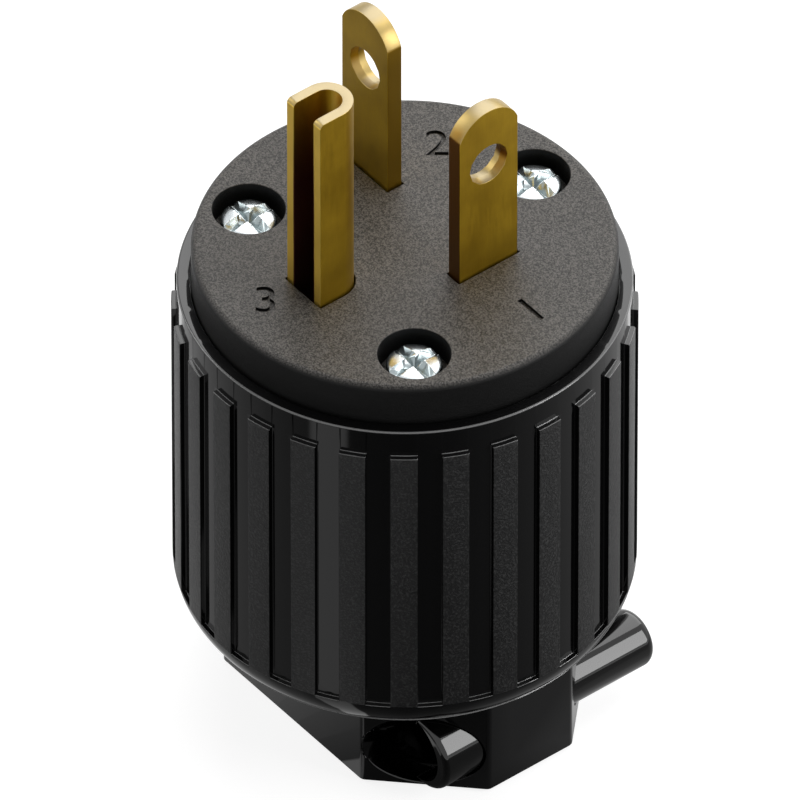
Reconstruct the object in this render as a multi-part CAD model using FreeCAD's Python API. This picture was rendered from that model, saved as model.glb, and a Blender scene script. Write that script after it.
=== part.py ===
import FreeCAD, Part
import math
import os
from FreeCAD import Vector

# A straight-blade power plug with a ribbed shell and a screw cord clamp, in millimetres.
# +Z runs along the plug towards the blades, and the origin is the middle of the flat cord end.
# +Y runs from the ground pin towards the line of the two blades.

# Shell: a ribbed cup that stands on the clamp housing
HOUSING_H = 9.5           # cord end to the underside of the cup
CUP_H = 35.8              # underside of the cup to its rim
GROOVE_R = 19.7           # cup between the ribs
RIB_RISE = 0.47           # ribs above the grooves
RIB_W = 2.38
RIB_COUNT = 28
RIB_TOP_DROP = 2.7        # rim down to the top of the ribs
RIB_FOOT_H = 3.8          # underside of the cup up to the foot of the grooves
CUP_FILLET = 4.2
RIM_FILLET = 0.35
CUP_WALL = 1.9
RIM_WALL = 1.16           # cup's wall round the face
CUP_FLOOR_T = 2.2
CUP_INNER_FILLET = 2.0

# Clamp housing: a chamfered box, open at the cord end
HOUSING_X = 17.58         # half length
HOUSING_Y = 12.47         # half width
HOUSING_CHAMFER = 7.9
HOUSING_EDGE_R = 0.8
HOUSING_WALL_X = 1.5
HOUSING_WALL_Y = 2.0
HOUSING_ROOF_T = 1.1      # cavity roof to the underside of the cup
HOUSING_SINK = 1.8        # how far the housing's block runs into the floor of the cup

# Face: the insulating disc that the contacts come through
FACE_STAND = 4.1          # face above the rim of the cup
FACE_T = 7.0
FACE_FILLET = 0.6
FIT_GAP = 0.1             # between mouldings that fit into each other

# Face screws and the brass inserts that take them
SCREW_INSET = 4.34        # edge of the face to a screw's axis
SCREW_FIRST_DEG = 89.5
SCREW_SPREAD_DEG = 124.6  # from the first screw to each of the others
WELL_R = 3.17
WELL_DEPTH = 2.6
HEAD_R = 2.43
HEAD_H = 1.95
HEAD_DOME = 0.45
SCREW_R = 1.5
SCREW_LEN = 14.6          # under the head
SCREW_END_GAP = 1.0       # beyond the tip of a screw in its boss
THREAD_GAP = 0.05
HOLE_GAP = 0.2
INSERT_R = 2.5
INSERT_L = 8.0
INSERT_GROOVE = 0.35
BOSS_R = 3.9

# Contact carrier under the face
CARRIER_GAP = 0.3         # to the wall of the cup and to the bosses
CARRIER_FLANGE_T = 4.0
CARRIER_WALL_H = 13.0
CARRIER_WALL_GAP = 1.3    # lower walls to the wall of the cup
CHAMBER_GAP = 0.15        # behind a terminal screw's tip
CHAMBER_MARGIN = 1.0      # beside a wire clamp plate

# Blades
BLADE_W = 6.35
BLADE_T = 1.52
BLADE_OUT = 18.16         # face to tip
BLADE_TIP_R = 3.35
BLADE_HOLE_R = 2.04       # at the sides of a blade
BLADE_HOLE_WAIST = 0.14   # narrower in the middle of its thickness
BLADE_HOLE_OUT = 12.05
BLADE_EDGE_R = 0.08
BLADE_SLOT_GAP = 0.13
UPRIGHT_X = 6.2
CROSS_X = -9.21
BLADES_Y = 3.67

# Ground pin, a strip folded to a U
PIN_X = -0.39             # centre of the fold
PIN_Y = -8.24
PIN_R = 2.32
PIN_LEG = 2.52            # fold centre to the free edges
PIN_WALL = 0.97
PIN_OUT = 21.0
PIN_CORNER_R = 0.5

# Terminals inside the wiring chambers
SHOULDER_W = 8.6          # part of each contact that is trapped under the face
SHOULDER_H = 1.4
TAB_DROP = 15.0           # underside of the face to the lower end of a tab
TERMINAL_DROP = 10.6      # underside of the face to a terminal screw's axis
TERMINAL_R = 1.75
TERMINAL_HEAD_R = 3.3
TERMINAL_HEAD_H = 2.2
TERMINAL_TIP = 0.3        # tip out of the clamp plate
PLATE_W = 7.6
PLATE_H = 7.0
PLATE_T = 1.7
PLATE_CORNER_R = 0.8
WIRE_GAP = 0.6            # between a tab and its clamp plate

# Cord clamp: two jaws that slide along Y, and the two screws that draw them together
CLAMP_X = 13.5
CLAMP_Z = 4.15
TUBE_WALL = 1.25          # half tube round a clamp screw's head, at its thickest
TUBE_BORE_SHIFT = 0.9     # its bore, set towards the middle
TUBE_OPEN = 0.5           # screw's axis to the open side of a half tube
TUBE_END_Y = 9.0          # free end of a half tube, from the middle
TUBE_ROUND = 0.5
POST_R = 2.7
POST_END_Y = 15.2         # closed end of a post, from the middle
POST_ROUND = 1.0
POST_END_T = 1.1
SLIDE_GAP = 0.15          # round a tube or a post in the housing
JAW_GAP = 0.3             # between the jaws and the housing
JAW_OPEN_Y = 3.3          # jaw's inner face from the middle, with the clamp open
CORD_R = 8.0              # bite of the open jaws
BITE_EDGE_R = 0.8
BITE_GROOVE = 0.6
BITE_GROOVE_COUNT = 3
CLAMP_SEAT_T = 1.3        # jaw under a clamp screw's head
CLAMP_SCREW_R = 1.45
CLAMP_SCREW_LEN = 9.9
CLAMP_HEAD_R = 2.2
CLAMP_HEAD_H = 1.7
CLAMP_HEAD_GAP = 0.2      # round a clamp screw's head
CLAMP_BORE_GAP = 0.15

# Driving recess of every screw, as shares of its head
RECESS_ARM = 0.36         # width of the cross and the slot, of the head's radius
RECESS_WING = 0.8         # reach of the cross, of the head's radius
RECESS_DEPTH = 0.6        # of the head's height
SLOT_DEPTH = 0.6          # of the recess's depth
TIP_CHAMFER = 0.5         # of the shank's radius

# Cord seal on the floor of the cup
CORD_HOLE_R = 8.3
SEAL_R = 10.4
SEAL_T = 1.6
SEAL_SINK = 0.8           # depth of its seat in the floor
SEAL_HOLE_R = 4.6
SEAL_LIP_T = 0.8
SEAL_LIP_RISE = 1.3

# Heights and radii that follow
RIB_R = GROOVE_R + RIB_RISE
FACE_R = GROOVE_R - RIM_WALL - FIT_GAP
SCREW_PCR = FACE_R - SCREW_INSET
RIM_Z = HOUSING_H + CUP_H
FACE_Z = RIM_Z + FACE_STAND
SEAT_Z = FACE_Z - FACE_T
BOSS_TOP_Z = SEAT_Z - CARRIER_FLANGE_T
FLOOR_Z = HOUSING_H + CUP_FLOOR_T
CUP_R = GROOVE_R - CUP_WALL
CARRIER_WALL_R = CUP_R - CARRIER_WALL_GAP
POCKET_Z = SEAT_Z - SHOULDER_H
TERMINAL_Z = SEAT_Z - TERMINAL_DROP
TAB_LOW_Z = SEAT_Z - TAB_DROP
TUBE_R = CLAMP_HEAD_R + CLAMP_HEAD_GAP + TUBE_WALL
TUBE_BORE_R = CLAMP_HEAD_R + CLAMP_HEAD_GAP + TUBE_BORE_SHIFT
UP = Vector(0, 0, 1)
ALONG_X = Vector(1, 0, 0)
ALONG_Y = Vector(0, 1, 0)
SCREW_PLACES = [
    Vector(SCREW_PCR * math.cos(math.radians(a)), SCREW_PCR * math.sin(math.radians(a)), 0)
    for a in (SCREW_FIRST_DEG, SCREW_FIRST_DEG + SCREW_SPREAD_DEG, SCREW_FIRST_DEG - SCREW_SPREAD_DEG)
]


def box(x0, x1, y0, y1, z0, z1):
    """Box between two corners."""
    return Part.makeBox(x1 - x0, y1 - y0, z1 - z0, Vector(x0, y0, z0))


def rod(radius, start, direction, length):
    """Cylinder from a start point along a direction."""
    return Part.makeCylinder(radius, length, start, direction)


def turned(points):
    """Solid of revolution about Z from (radius, height) points; a point may also be an arc's middle."""
    edges = []
    spots = [Vector(p[0], 0, p[1]) for p in points]
    arcs = [len(p) == 3 for p in points]
    i = 0
    while i < len(spots):
        nxt = (i + 1) % len(spots)
        if arcs[nxt]:
            end = (i + 2) % len(spots)
            edges.append(Part.Arc(spots[i], spots[nxt], spots[end]).toShape())
            i += 2
        else:
            edges.append(Part.makeLine(spots[i], spots[nxt]))
            i += 1
    return Part.Face(Part.Wire(edges)).revolve(Vector(0, 0, 0), UP, 360)


def round_mid(centre_r, centre_z, radius, degrees):
    """Middle point of a fillet arc, marked as an arc point for turned()."""
    a = math.radians(degrees)
    return (centre_r + radius * math.cos(a), centre_z + radius * math.sin(a), "arc")


def prism(points, z0, z1):
    """Upright prism over an outline of (x, y) points."""
    wire = Part.makePolygon([Vector(x, y, z0) for x, y in points + points[:1]])
    return Part.Face(wire).extrude(Vector(0, 0, z1 - z0))


def chamfered_box(half_x, half_y, chamfer, z0, z1):
    """Upright box with its four vertical corners cut off at 45 degrees."""
    cx = half_x - chamfer
    cy = half_y - chamfer
    outline = [(half_x, cy), (cx, half_y), (-cx, half_y), (-half_x, cy),
               (-half_x, -cy), (-cx, -half_y), (cx, -half_y), (half_x, -cy)]
    return prism(outline, z0, z1)


def upright_edges(shape):
    """Edges that run along Z."""
    found = []
    for edge in shape.Edges:
        if len(edge.Vertexes) == 2:
            a, b = edge.Vertexes[0].Point, edge.Vertexes[1].Point
            if abs(a.x - b.x) < 1e-6 and abs(a.y - b.y) < 1e-6:
                found.append(edge)
    return found


def cavity(inset, z0, z1):
    """Inside of the clamp housing, made smaller by an inset."""
    slant = HOUSING_X + HOUSING_Y - HOUSING_CHAMFER
    slant_wall = HOUSING_WALL_Y + inset
    half_x = HOUSING_X - HOUSING_WALL_X - inset
    half_y = HOUSING_Y - HOUSING_WALL_Y - inset
    chamfer = half_x + half_y - (slant - slant_wall * math.sqrt(2))
    return chamfered_box(half_x, half_y, chamfer, z0, z1)


def cup():
    """Outside of the cup, without its ribs: rounded at the bottom, with a soft rim."""
    foot_z = HOUSING_H + RIB_FOOT_H
    core_r = RIB_R - CUP_FILLET
    fillet_z = HOUSING_H + CUP_FILLET
    drop = fillet_z - foot_z
    foot_r = core_r + math.sqrt(CUP_FILLET ** 2 - drop ** 2) if drop > 0 else RIB_R
    mid_deg = -45 if drop <= 0 else (-90 - math.degrees(math.asin(drop / CUP_FILLET))) / 2
    outline = [(0, HOUSING_H), (core_r, HOUSING_H), round_mid(core_r, fillet_z, CUP_FILLET, mid_deg)]
    if drop > 0:
        outline.append((foot_r, foot_z))
    else:
        outline += [(RIB_R, fillet_z), (RIB_R, foot_z)]
    outline += [
        (GROOVE_R, foot_z),
        (GROOVE_R, RIM_Z - RIM_FILLET),
        round_mid(GROOVE_R - RIM_FILLET, RIM_Z - RIM_FILLET, RIM_FILLET, 45),
        (GROOVE_R - RIM_FILLET, RIM_Z),
        (0, RIM_Z),
    ]
    return turned(outline)


def ribs():
    """Raised grip ribs, evenly spaced, one of them centred on +Y."""
    low = HOUSING_H + RIB_FOOT_H
    high = RIM_Z - RIB_TOP_DROP
    inner = GROOVE_R - CUP_WALL / 2
    blank = box(inner, RIB_R + 1, -RIB_W / 2, RIB_W / 2, low, high)
    one = blank.common(rod(RIB_R, Vector(0, 0, low), UP, high - low))
    made = []
    for k in range(RIB_COUNT):
        copy = one.copy()
        copy.rotate(Vector(0, 0, 0), UP, 90 + k * 360 / RIB_COUNT)
        made.append(copy)
    return made


def shell():
    """Ribbed cup and clamp housing, moulded in one."""
    housing = chamfered_box(HOUSING_X, HOUSING_Y, HOUSING_CHAMFER, 0, HOUSING_H + HOUSING_SINK)
    housing = housing.makeFillet(HOUSING_EDGE_R, upright_edges(housing))
    body = cup().multiFuse(ribs() + [housing])

    chamber = turned([
        (0, FLOOR_Z), (CUP_R - CUP_INNER_FILLET, FLOOR_Z),
        round_mid(CUP_R - CUP_INNER_FILLET, FLOOR_Z + CUP_INNER_FILLET, CUP_INNER_FILLET, -45),
        (CUP_R, FLOOR_Z + CUP_INNER_FILLET), (CUP_R, SEAT_Z),
        (FACE_R + FIT_GAP, SEAT_Z), (FACE_R + FIT_GAP, RIM_Z + 1), (0, RIM_Z + 1),
    ])
    root_z = HOUSING_H + CUP_FLOOR_T / 2
    bosses = [rod(BOSS_R, place + UP * root_z, UP, BOSS_TOP_Z - root_z) for place in SCREW_PLACES]
    for boss in bosses:
        chamber = chamber.cut(boss)
    body = body.cut(chamber)

    insert_z = BOSS_TOP_Z - INSERT_L
    end_z = FACE_Z - WELL_DEPTH - SCREW_LEN - SCREW_END_GAP
    cuts = [cavity(0, -1, HOUSING_H - HOUSING_ROOF_T)]
    cuts.append(rod(CORD_HOLE_R, Vector(0, 0, 0), UP, FLOOR_Z + 1))
    cuts.append(rod(SEAL_R + FIT_GAP, Vector(0, 0, FLOOR_Z - SEAL_SINK), UP, SEAL_SINK + 1))
    for place in SCREW_PLACES:
        cuts.append(rod(INSERT_R, place + UP * insert_z, UP, INSERT_L + 1))
        cuts.append(rod(SCREW_R + HOLE_GAP, place + UP * end_z, UP, BOSS_TOP_Z - end_z))
    for side in (-1, 1):
        axis = Vector(side * CLAMP_X, 0, CLAMP_Z)
        cuts.append(rod(TUBE_R + SLIDE_GAP, axis, -ALONG_Y, HOUSING_Y + 1))
        cuts.append(rod(POST_R + SLIDE_GAP, axis, ALONG_Y, HOUSING_Y + 1))
    return body.cut(cuts)


def blade_slot(x, y, along_x, gap, width, z0, z1):
    """Slot for a flat blade of a given width, with a gap all round."""
    half_w = width / 2 + gap
    half_t = BLADE_T / 2 + gap
    if along_x:
        return box(x - half_w, x + half_w, y - half_t, y + half_t, z0, z1)
    return box(x - half_t, x + half_t, y - half_w, y + half_w, z0, z1)


def pin_outline(radius, leg_y, z0, z1):
    """Round-backed solid over the outside of the folded pin."""
    back = rod(radius, Vector(PIN_X, PIN_Y, z0), UP, z1 - z0)
    return back.fuse(box(PIN_X - radius, PIN_X + radius, leg_y, PIN_Y, z0, z1)).removeSplitter()


def pin_tab(width, gap, z0, z1):
    """Flat strip at the back of the pin's fold, of a given width, with a gap all round."""
    half = width / 2 + gap
    back_y = PIN_Y + PIN_R
    return box(PIN_X - half, PIN_X + half, back_y - PIN_WALL - gap, back_y + gap, z0, z1)


def face():
    """Insulating disc with its contact slots and screw wells."""
    disc = rod(FACE_R, Vector(0, 0, SEAT_Z), UP, FACE_T)
    top_edge = [e for e in disc.Edges if abs(e.BoundBox.ZMin - FACE_Z) < 1e-6]
    disc = disc.makeFillet(FACE_FILLET, top_edge)
    cuts = [
        blade_slot(UPRIGHT_X, BLADES_Y, False, BLADE_SLOT_GAP, BLADE_W, SEAT_Z - 1, FACE_Z + 1),
        blade_slot(CROSS_X, BLADES_Y, True, BLADE_SLOT_GAP, BLADE_W, SEAT_Z - 1, FACE_Z + 1),
        pin_outline(PIN_R + BLADE_SLOT_GAP, PIN_Y - PIN_LEG - BLADE_SLOT_GAP, SEAT_Z - 1, FACE_Z + 1),
    ]
    for place in SCREW_PLACES:
        cuts.append(rod(WELL_R, place + UP * (FACE_Z - WELL_DEPTH), UP, WELL_DEPTH + 1))
        cuts.append(rod(SCREW_R + HOLE_GAP, place + UP * (SEAT_Z - 1), UP, FACE_T))
    return disc.cut(cuts)


def contact_carrier():
    """Block under the face: a flange that traps the contacts, and walls between their wiring chambers."""
    low = BOSS_TOP_Z - CARRIER_WALL_H
    flange = rod(CUP_R - CARRIER_GAP, Vector(0, 0, BOSS_TOP_Z), UP, CARRIER_FLANGE_T)
    walls = rod(CARRIER_WALL_R, Vector(0, 0, low), UP, CARRIER_WALL_H)

    reach = CARRIER_WALL_R + 1
    behind_tab = WIRE_GAP + PLATE_T + TERMINAL_TIP + CHAMBER_GAP
    behind_blade = BLADE_T / 2 + behind_tab
    half = PLATE_W / 2 + CHAMBER_MARGIN
    top = BOSS_TOP_Z
    chambers = [
        box(UPRIGHT_X - behind_blade, reach, BLADES_Y - half, BLADES_Y + half, low - 1, top),
        box(CROSS_X - half, CROSS_X + half, BLADES_Y - behind_blade, reach, low - 1, top),
        box(PIN_X - half, PIN_X + half, -reach, PIN_Y + PIN_R + behind_tab, low - 1, top),
    ]
    walls = walls.cut(chambers)
    for place in SCREW_PLACES:
        walls = walls.cut(rod(BOSS_R + CARRIER_GAP, place + UP * (low - 1), UP, CARRIER_WALL_H + 1))
    body = flange.fuse(walls)

    cuts = [
        blade_slot(UPRIGHT_X, BLADES_Y, False, FIT_GAP, BLADE_W, low, SEAT_Z + 1),
        blade_slot(CROSS_X, BLADES_Y, True, FIT_GAP, BLADE_W, low, SEAT_Z + 1),
        blade_slot(UPRIGHT_X, BLADES_Y, False, FIT_GAP, SHOULDER_W, POCKET_Z, SEAT_Z + 1),
        blade_slot(CROSS_X, BLADES_Y, True, FIT_GAP, SHOULDER_W, POCKET_Z, SEAT_Z + 1),
        pin_outline(PIN_R + FIT_GAP, PIN_Y - PIN_LEG - FIT_GAP, POCKET_Z, SEAT_Z + 1),
        pin_tab(SHOULDER_W, FIT_GAP, POCKET_Z, SEAT_Z + 1),
        pin_tab(BLADE_W, FIT_GAP, low, SEAT_Z + 1),
    ]
    for place in SCREW_PLACES:
        cuts.append(rod(SCREW_R + HOLE_GAP, place + UP * (BOSS_TOP_Z - 1), UP, CARRIER_FLANGE_T + 2))
    return body.cut(cuts)


def blade():
    """Flat blade standing at the origin of x and y, wide along X: tip, hole, shoulders and terminal tab."""
    half = BLADE_W / 2
    tip_z = FACE_Z + BLADE_OUT
    corner_z = tip_z - BLADE_TIP_R + math.sqrt(BLADE_TIP_R ** 2 - half ** 2)
    front_y = -BLADE_T / 2
    corner_a = Vector(half, front_y, corner_z)
    corner_b = Vector(-half, front_y, corner_z)
    low_a = Vector(half, front_y, TAB_LOW_Z)
    low_b = Vector(-half, front_y, TAB_LOW_Z)
    outline = Part.Wire([
        Part.makeLine(low_a, corner_a),
        Part.Arc(corner_a, Vector(0, front_y, tip_z), corner_b).toShape(),
        Part.makeLine(corner_b, low_b),
        Part.makeLine(low_b, low_a),
    ])
    solid = Part.Face(outline).extrude(Vector(0, BLADE_T, 0))
    rim = [e for e in solid.Edges if e.BoundBox.ZMax > FACE_Z and e.BoundBox.YLength < 1e-6]
    solid = solid.makeFillet(BLADE_EDGE_R, rim)

    shoulder = box(-SHOULDER_W / 2, SHOULDER_W / 2, -BLADE_T / 2, BLADE_T / 2, POCKET_Z, SEAT_Z)
    hole_z = FACE_Z + BLADE_HOLE_OUT
    waist_r = BLADE_HOLE_R - BLADE_HOLE_WAIST
    sinks = [
        Part.makeCone(BLADE_HOLE_R, waist_r, BLADE_T / 2, Vector(0, side * BLADE_T / 2, hole_z), Vector(0, -side, 0))
        for side in (-1, 1)
    ]
    tab_hole = rod(TERMINAL_R + HOLE_GAP, Vector(0, -BLADE_T, TERMINAL_Z), ALONG_Y, 2 * BLADE_T)
    return solid.fuse(shoulder).cut([tab_hole] + sinks).removeSplitter()


def blade_upright():
    """Blade that is wide along Y."""
    solid = blade()
    solid.rotate(Vector(0, 0, 0), UP, 90)
    solid.translate(Vector(UPRIGHT_X, BLADES_Y, 0))
    return solid


def blade_cross():
    """Blade that is wide along X."""
    solid = blade()
    solid.translate(Vector(CROSS_X, BLADES_Y, 0))
    return solid


def ground_pin():
    """Strip folded to a U, open towards -Y, with a flat tab from the back of the fold."""
    top_z = FACE_Z + PIN_OUT
    free_y = PIN_Y - PIN_LEG
    outside = pin_outline(PIN_R, free_y, POCKET_Z, top_z)
    lips = [
        e for e in outside.Edges
        if abs(e.BoundBox.ZMin - top_z) < 1e-6 and abs(e.BoundBox.YMax - free_y) < 1e-6
    ]
    outside = outside.makeFillet(PIN_CORNER_R, lips)
    inside = pin_outline(PIN_R - PIN_WALL, free_y - 1, POCKET_Z - 1, top_z + 1)
    channel = outside.cut(inside)

    shoulder = pin_tab(SHOULDER_W, 0, POCKET_Z, SEAT_Z)
    tab = pin_tab(BLADE_W, 0, TAB_LOW_Z, SEAT_Z)
    hole_start = Vector(PIN_X, PIN_Y + PIN_R - 2 * PIN_WALL, TERMINAL_Z)
    tab_hole = rod(TERMINAL_R + HOLE_GAP, hole_start, ALONG_Y, 3 * PIN_WALL)
    return channel.fuse([shoulder, tab]).cut(tab_hole).removeSplitter()


def recess(radius, depth):
    """Combination recess, cut down from z = 0: a tapered cross and a slot across it."""
    arm = radius * RECESS_ARM
    wing = radius * RECESS_WING
    corners = ((1, 1), (-1, 1), (-1, -1), (1, -1), (1, 1))
    slot = box(-radius - 1, radius + 1, -arm / 2, arm / 2, -depth * SLOT_DEPTH, 1)
    cross = Part.makeLoft([
        Part.makePolygon([Vector(x * wing, y * arm / 2, 0) for x, y in corners]),
        Part.makePolygon([Vector(x * arm / 2, y * arm / 2, -depth) for x, y in corners]),
    ], True)
    other = cross.copy()
    other.rotate(Vector(0, 0, 0), UP, 90)
    top = box(-wing, wing, -arm / 2, arm / 2, 0, 1)
    top_other = top.copy()
    top_other.rotate(Vector(0, 0, 0), UP, 90)
    return slot.fuse([cross, other, top, top_other])


def screw(head_r, head_h, dome, shank_r, shank_l):
    """Screw along Z with a domed head on top of z = 0 and its shank below."""
    tip = shank_r * TIP_CHAMFER
    rise = head_h - dome
    curve_r = (head_r ** 2 + dome ** 2) / (2 * dome)
    half_angle = math.asin(head_r / curve_r) / 2
    centre_z = head_h - curve_r
    body = turned([
        (0, -shank_l), (shank_r - tip, -shank_l), (shank_r, tip - shank_l), (shank_r, 0),
        (head_r, 0), (head_r, rise),
        (curve_r * math.sin(half_angle), centre_z + curve_r * math.cos(half_angle), "arc"),
        (0, head_h),
    ])
    cutter = recess(head_r, head_h * RECESS_DEPTH)
    cutter.translate(UP * head_h)
    return body.cut(cutter)


def face_screw(place):
    """Screw that holds the face and the carrier down on the shell."""
    solid = screw(HEAD_R, HEAD_H, HEAD_DOME, SCREW_R, SCREW_LEN)
    angle = math.degrees(math.atan2(place.y, place.x))
    solid.rotate(Vector(0, 0, 0), UP, angle)
    solid.translate(place + UP * (FACE_Z - WELL_DEPTH))
    return solid


def insert(place):
    """Threaded brass insert with a waist that locks it in its boss."""
    low = BOSS_TOP_Z - INSERT_L
    bore = SCREW_R + THREAD_GAP
    third = INSERT_L / 3
    waist = INSERT_R - INSERT_GROOVE
    solid = turned([
        (bore, low), (INSERT_R, low), (INSERT_R, low + third), (waist, low + third),
        (waist, low + 2 * third), (INSERT_R, low + 2 * third), (INSERT_R, BOSS_TOP_Z), (bore, BOSS_TOP_Z),
    ])
    solid.translate(place)
    return solid


def terminal_screw(tab_t):
    """Terminal screw at the origin: head outside the tab at y = 0, shank along +Y through tab and plate."""
    length = tab_t + WIRE_GAP + PLATE_T + TERMINAL_TIP
    solid = screw(TERMINAL_HEAD_R, TERMINAL_HEAD_H, HEAD_DOME, TERMINAL_R, length)
    solid.rotate(Vector(0, 0, 0), ALONG_X, 90)
    return solid


def wire_clamp():
    """Threaded plate that the terminal screw draws towards the tab."""
    plate = box(-PLATE_W / 2, PLATE_W / 2, 0, PLATE_T, -PLATE_H / 2, PLATE_H / 2)
    corners = [e for e in plate.Edges if e.BoundBox.YLength > PLATE_T / 2]
    plate = plate.makeFillet(PLATE_CORNER_R, corners)
    return plate.cut(rod(TERMINAL_R + THREAD_GAP, Vector(0, -1, 0), ALONG_Y, PLATE_T + 2))


def at_terminal(solid, contact, behind=0.0):
    """Places a terminal piece on a contact's tab; behind is its distance in from the tab's outer side."""
    moved = solid.copy()
    moved.translate(Vector(0, behind, 0))
    if contact == "upright":
        moved.rotate(Vector(0, 0, 0), UP, 90)
        moved.translate(Vector(UPRIGHT_X + BLADE_T / 2, BLADES_Y, TERMINAL_Z))
    elif contact == "cross":
        moved.rotate(Vector(0, 0, 0), UP, 180)
        moved.translate(Vector(CROSS_X, BLADES_Y + BLADE_T / 2, TERMINAL_Z))
    else:
        moved.translate(Vector(PIN_X, PIN_Y + PIN_R - PIN_WALL, TERMINAL_Z))
    return moved


def jaw_bar(side):
    """Bar of a jaw in the housing's cavity, with a grooved round bite for the cord."""
    low = JAW_GAP
    high = HOUSING_H - HOUSING_ROOF_T - JAW_GAP
    near = side * JAW_OPEN_Y
    far = side * HOUSING_Y
    half = box(-HOUSING_X, HOUSING_X, min(near, far), max(near, far), low, high)
    bar = cavity(JAW_GAP, low, high).common(half)
    bar = bar.cut(rod(CORD_R, Vector(0, 0, low - 1), UP, high - low + 2))
    bite_x = math.sqrt(CORD_R ** 2 - JAW_OPEN_Y ** 2)
    lips = [
        e for e in upright_edges(bar)
        if abs(abs(e.Vertexes[0].X) - bite_x) < 1e-4 and abs(e.Vertexes[0].Y - near) < 1e-4
    ]
    bar = bar.makeFillet(BITE_EDGE_R, lips)
    pitch = (high - low) / (BITE_GROOVE_COUNT + 1)
    for k in range(BITE_GROOVE_COUNT):
        z = low + (k + 1) * pitch
        groove = turned([(0, z - BITE_GROOVE), (CORD_R, z - BITE_GROOVE), (CORD_R + BITE_GROOVE, z),
                         (CORD_R, z + BITE_GROOVE), (0, z + BITE_GROOVE)])
        bar = bar.cut(groove)
    return bar


def ended_rod(radius, y0, y1, rounding):
    """Rod along Y whose end at y1 is rounded."""
    length = abs(y1 - y0)
    direction = ALONG_Y if y1 > y0 else -ALONG_Y
    solid = rod(radius, Vector(0, y0, 0), direction, length)
    end = [e for e in solid.Edges if abs(e.BoundBox.YMin - y1) < 1e-6 and abs(e.BoundBox.YMax - y1) < 1e-6]
    return solid.makeFillet(rounding, end)


def front_jaw():
    """Jaw with a half tube at each end, open towards the middle, that holds a clamp screw's head."""
    seat_y = -JAW_OPEN_Y - CLAMP_SEAT_T
    hole = rod(CLAMP_SCREW_R + HOLE_GAP, Vector(0, 0, 0), -ALONG_Y, TUBE_END_Y)
    solid = jaw_bar(-1)
    for side in (-1, 1):
        place = Vector(side * CLAMP_X, 0, CLAMP_Z)
        tube = ended_rod(TUBE_R, -JAW_OPEN_Y, -TUBE_END_Y, TUBE_ROUND)
        inner = [-side * TUBE_OPEN, -side * 2 * TUBE_R]
        tube = tube.cut(box(min(inner), max(inner), -2 * TUBE_END_Y, seat_y, -TUBE_R, TUBE_R))
        bore = rod(TUBE_BORE_R, Vector(-side * TUBE_BORE_SHIFT, seat_y, 0), -ALONG_Y, TUBE_END_Y)
        solid = solid.fuse(tube.translated(place))
        solid = solid.cut([c.translated(place) for c in (bore, hole)])
    return solid.removeSplitter()


def rear_jaw():
    """Jaw with a closed post at each end that takes a clamp screw's thread."""
    post = ended_rod(POST_R, JAW_OPEN_Y, POST_END_Y, POST_ROUND)
    bore = rod(CLAMP_SCREW_R + CLAMP_BORE_GAP, Vector(0, 0, 0), ALONG_Y, POST_END_Y - POST_END_T)
    solid = jaw_bar(1)
    for side in (-1, 1):
        place = Vector(side * CLAMP_X, 0, CLAMP_Z)
        solid = solid.fuse(post.translated(place)).cut(bore.translated(place))
    return solid.removeSplitter()


def clamp_screw(side):
    """Clamp screw with its head in a tube of the front jaw and its tip in the rear jaw's post."""
    solid = screw(CLAMP_HEAD_R, CLAMP_HEAD_H, HEAD_DOME, CLAMP_SCREW_R, CLAMP_SCREW_LEN)
    solid.rotate(Vector(0, 0, 0), ALONG_X, 90)
    solid.translate(Vector(side * CLAMP_X, -JAW_OPEN_Y - CLAMP_SEAT_T, CLAMP_Z))
    return solid


def cord_seal():
    """Rubber ring in the floor of the cup, with a thin lip that rises round the cord."""
    low = FLOOR_Z - SEAL_SINK
    high = low + SEAL_T
    root = CORD_HOLE_R
    return turned([
        (root, low), (SEAL_R, low), (SEAL_R, high), (root - SEAL_LIP_T, high),
        (SEAL_HOLE_R, high + SEAL_LIP_RISE), (SEAL_HOLE_R, high + SEAL_LIP_RISE - SEAL_LIP_T),
        (root - SEAL_LIP_T, high - SEAL_LIP_T),
    ])


def parts():
    """Every piece of the plug, by name."""
    tab_thickness = {"upright": BLADE_T, "cross": BLADE_T, "ground": PIN_WALL}
    made = {
        "shell": shell(),
        "face": face(),
        "contact_carrier": contact_carrier(),
        "blade_upright": blade_upright(),
        "blade_cross": blade_cross(),
        "ground_pin": ground_pin(),
        "front_jaw": front_jaw(),
        "rear_jaw": rear_jaw(),
        "clamp_screw_left": clamp_screw(-1),
        "clamp_screw_right": clamp_screw(1),
        "cord_seal": cord_seal(),
    }
    for contact, tab_t in tab_thickness.items():
        made["terminal_screw_" + contact] = at_terminal(terminal_screw(tab_t), contact)
        made["wire_clamp_" + contact] = at_terminal(wire_clamp(), contact, tab_t + WIRE_GAP)
    for number, place in enumerate(SCREW_PLACES, start=1):
        made["face_screw_%d" % number] = face_screw(place)
        made["insert_%d" % number] = insert(place)
    return made


os.makedirs("parts", exist_ok=True)
for name, shape in parts().items():
    solids = shape.Solids
    if len(solids) != 1 or not shape.isValid():
        print("check", name, len(solids), shape.isValid())
    shape.exportStep("parts/%s.step" % name)
    print("%-24s volume %9.2f mm3" % (name, shape.Volume))
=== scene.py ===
import math
import bmesh
import bpy
import numpy as np
from mathutils import Matrix, Vector


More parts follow.
